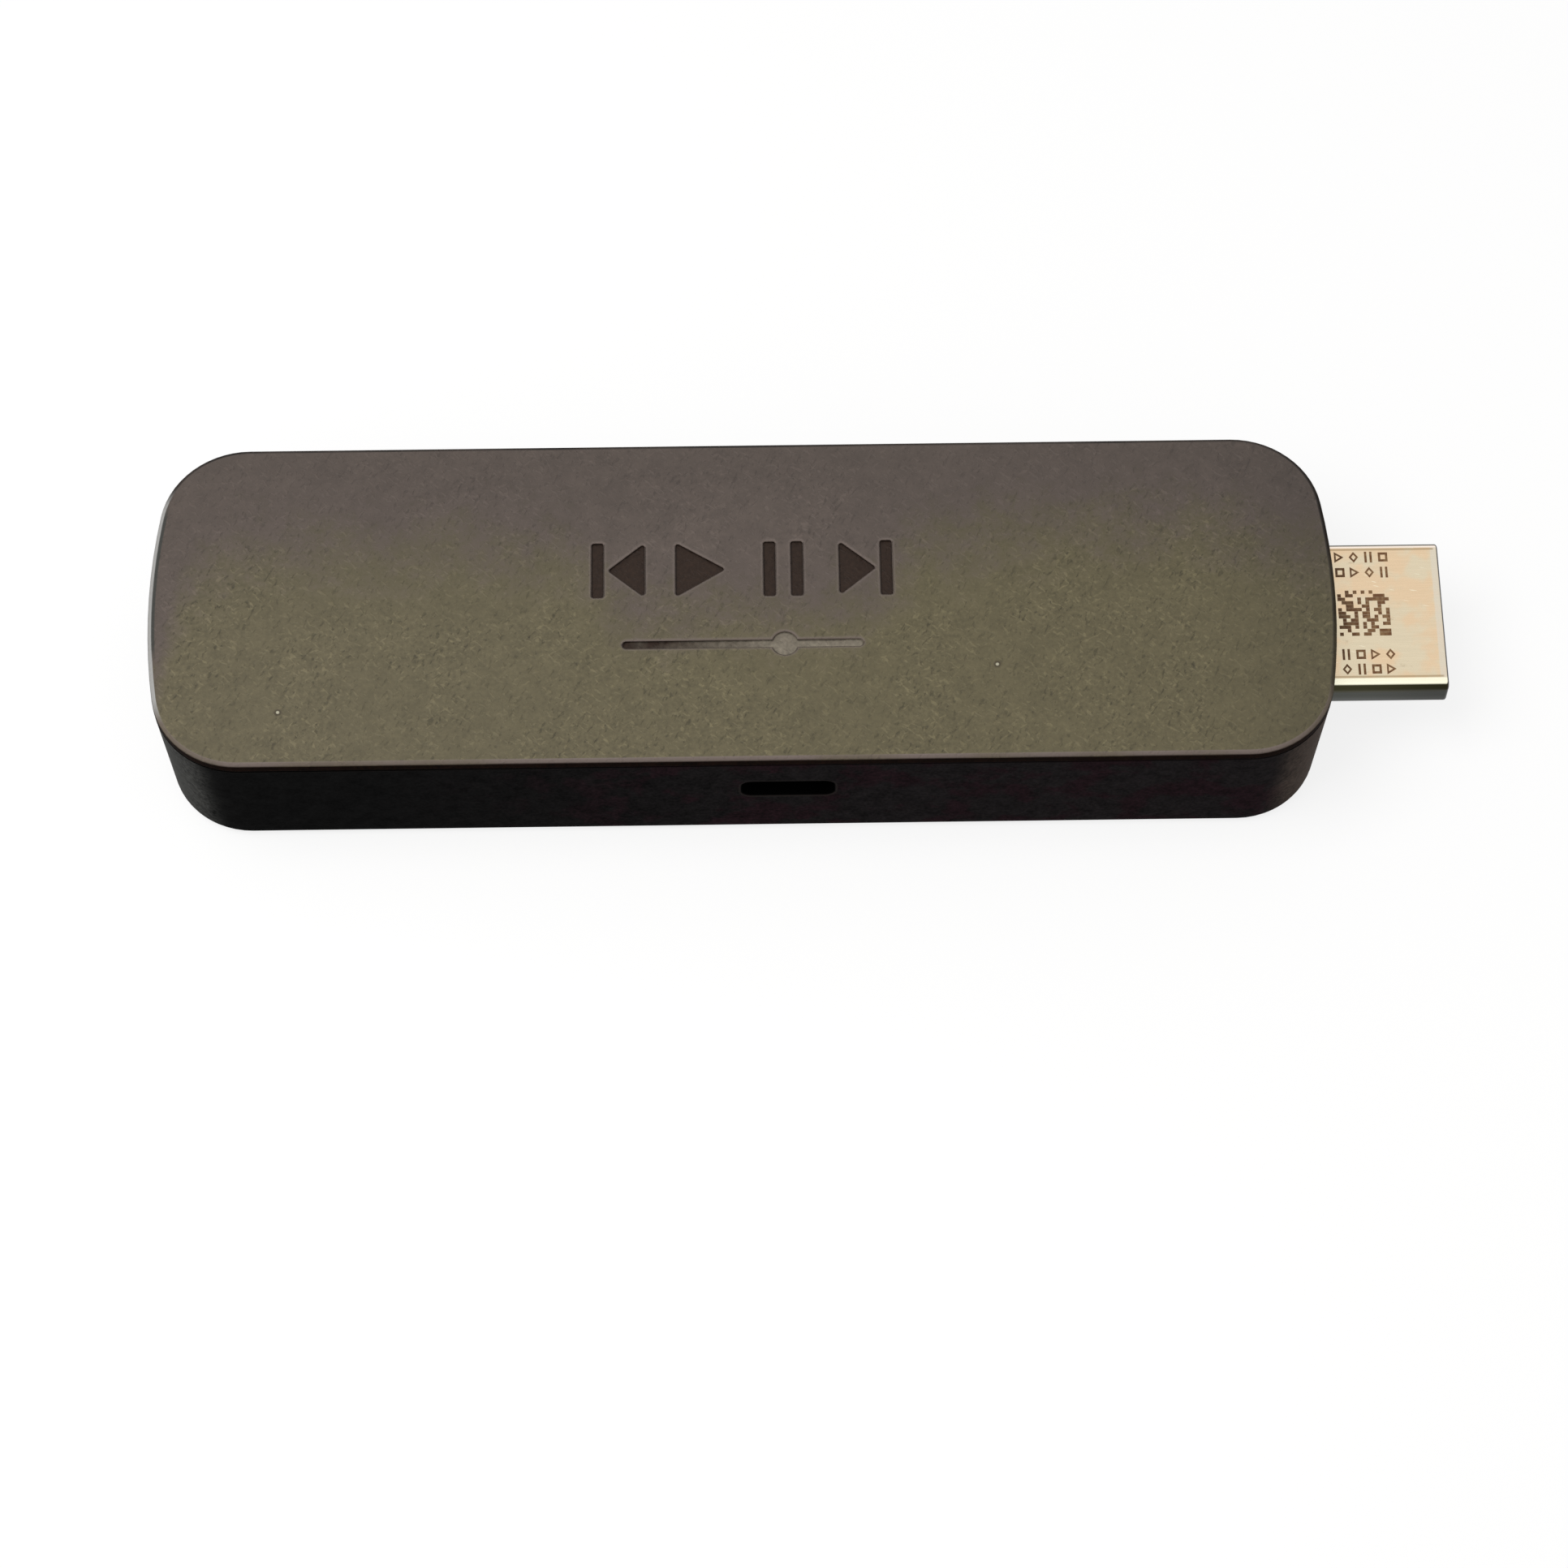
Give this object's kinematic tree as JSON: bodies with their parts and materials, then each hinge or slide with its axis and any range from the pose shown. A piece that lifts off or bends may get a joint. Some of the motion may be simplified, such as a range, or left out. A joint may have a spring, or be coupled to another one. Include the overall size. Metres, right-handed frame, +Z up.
{
  "type": "streaming stick",
  "caption": "Flat video streaming stick: a two-part shell with rounded ends, a metal video plug out of one end and a small power socket in one long side.",
  "frame": {"origin": "on the underside, under the middle of the body's shell; the plug isn't counted", "axes": "+X along the stick towards the video plug, +Z up through the cover, -Y out of the side with the power socket"},
  "size_m": [0.1085, 0.03, 0.014],
  "materials": {
    "cover_plastic": "fine matte texture, olive taupe",
    "housing_plastic": "fine matte texture, near black",
    "plug_metal": "warm nickel plate, lightly scratched",
    "socket_metal": "plated",
    "spreader_aluminium": "milled, edges broken",
    "shield_metal": "tin plate",
    "antenna_metal": "stamped sheet",
    "contact_gold": "gold plate",
    "board_laminate": "dark green solder mask",
    "chip_mould": "black moulding compound",
    "insulator_plastic": "black, glass filled",
    "thermal_pad": "soft grey-blue silicone",
    "tape": "thin thermal adhesive",
    "capacitor_ceramic": "tan ceramic with tinned ends",
    "inductor_ferrite": "dark ferrite",
    "crystal_metal": "seam-welded can"
  },
  "bodies": {
    "root": {"top_cover": "cover_plastic", "lower_housing": "housing_plastic", "top_spreader": "spreader_aluminium", "bottom_spreader": "spreader_aluminium", "top_spreader_tape": "tape", "bottom_spreader_tape": "tape", "processor_gap_pad": "thermal_pad", "radio_gap_pad": "thermal_pad", "power_gap_pad": "thermal_pad", "processor_thermal_pad": "thermal_pad", "main_board": "board_laminate", "processor_shield_frame": "shield_metal", "processor_shield_lid": "shield_metal", "radio_shield_frame": "shield_metal", "radio_shield_lid": "shield_metal", "power_shield_frame": "shield_metal", "power_shield_lid": "shield_metal", "processor_chip": "chip_mould", "memory_chip": "chip_mould", "radio_chip": "chip_mould", "radio_amplifiers": "chip_mould", "storage_chip": "chip_mould", "power_chip": "chip_mould", "crystals": "crystal_metal", "power_inductors": "inductor_ferrite", "bulk_capacitors": "capacitor_ceramic", "small_capacitors": "capacitor_ceramic", "signal_filters": "inductor_ferrite", "input_fuse": "capacitor_ceramic", "plug_shell": "plug_metal", "plug_insulator": "insulator_plastic", "plug_upper_contacts": "contact_gold", "plug_lower_contacts": "contact_gold", "socket_shell": "socket_metal", "socket_insulator": "insulator_plastic", "socket_contacts": "contact_gold", "back_antenna": "antenna_metal", "front_antenna": "antenna_metal", "remote_antenna": "capacitor_ceramic"}
  },
  "joints": []
}
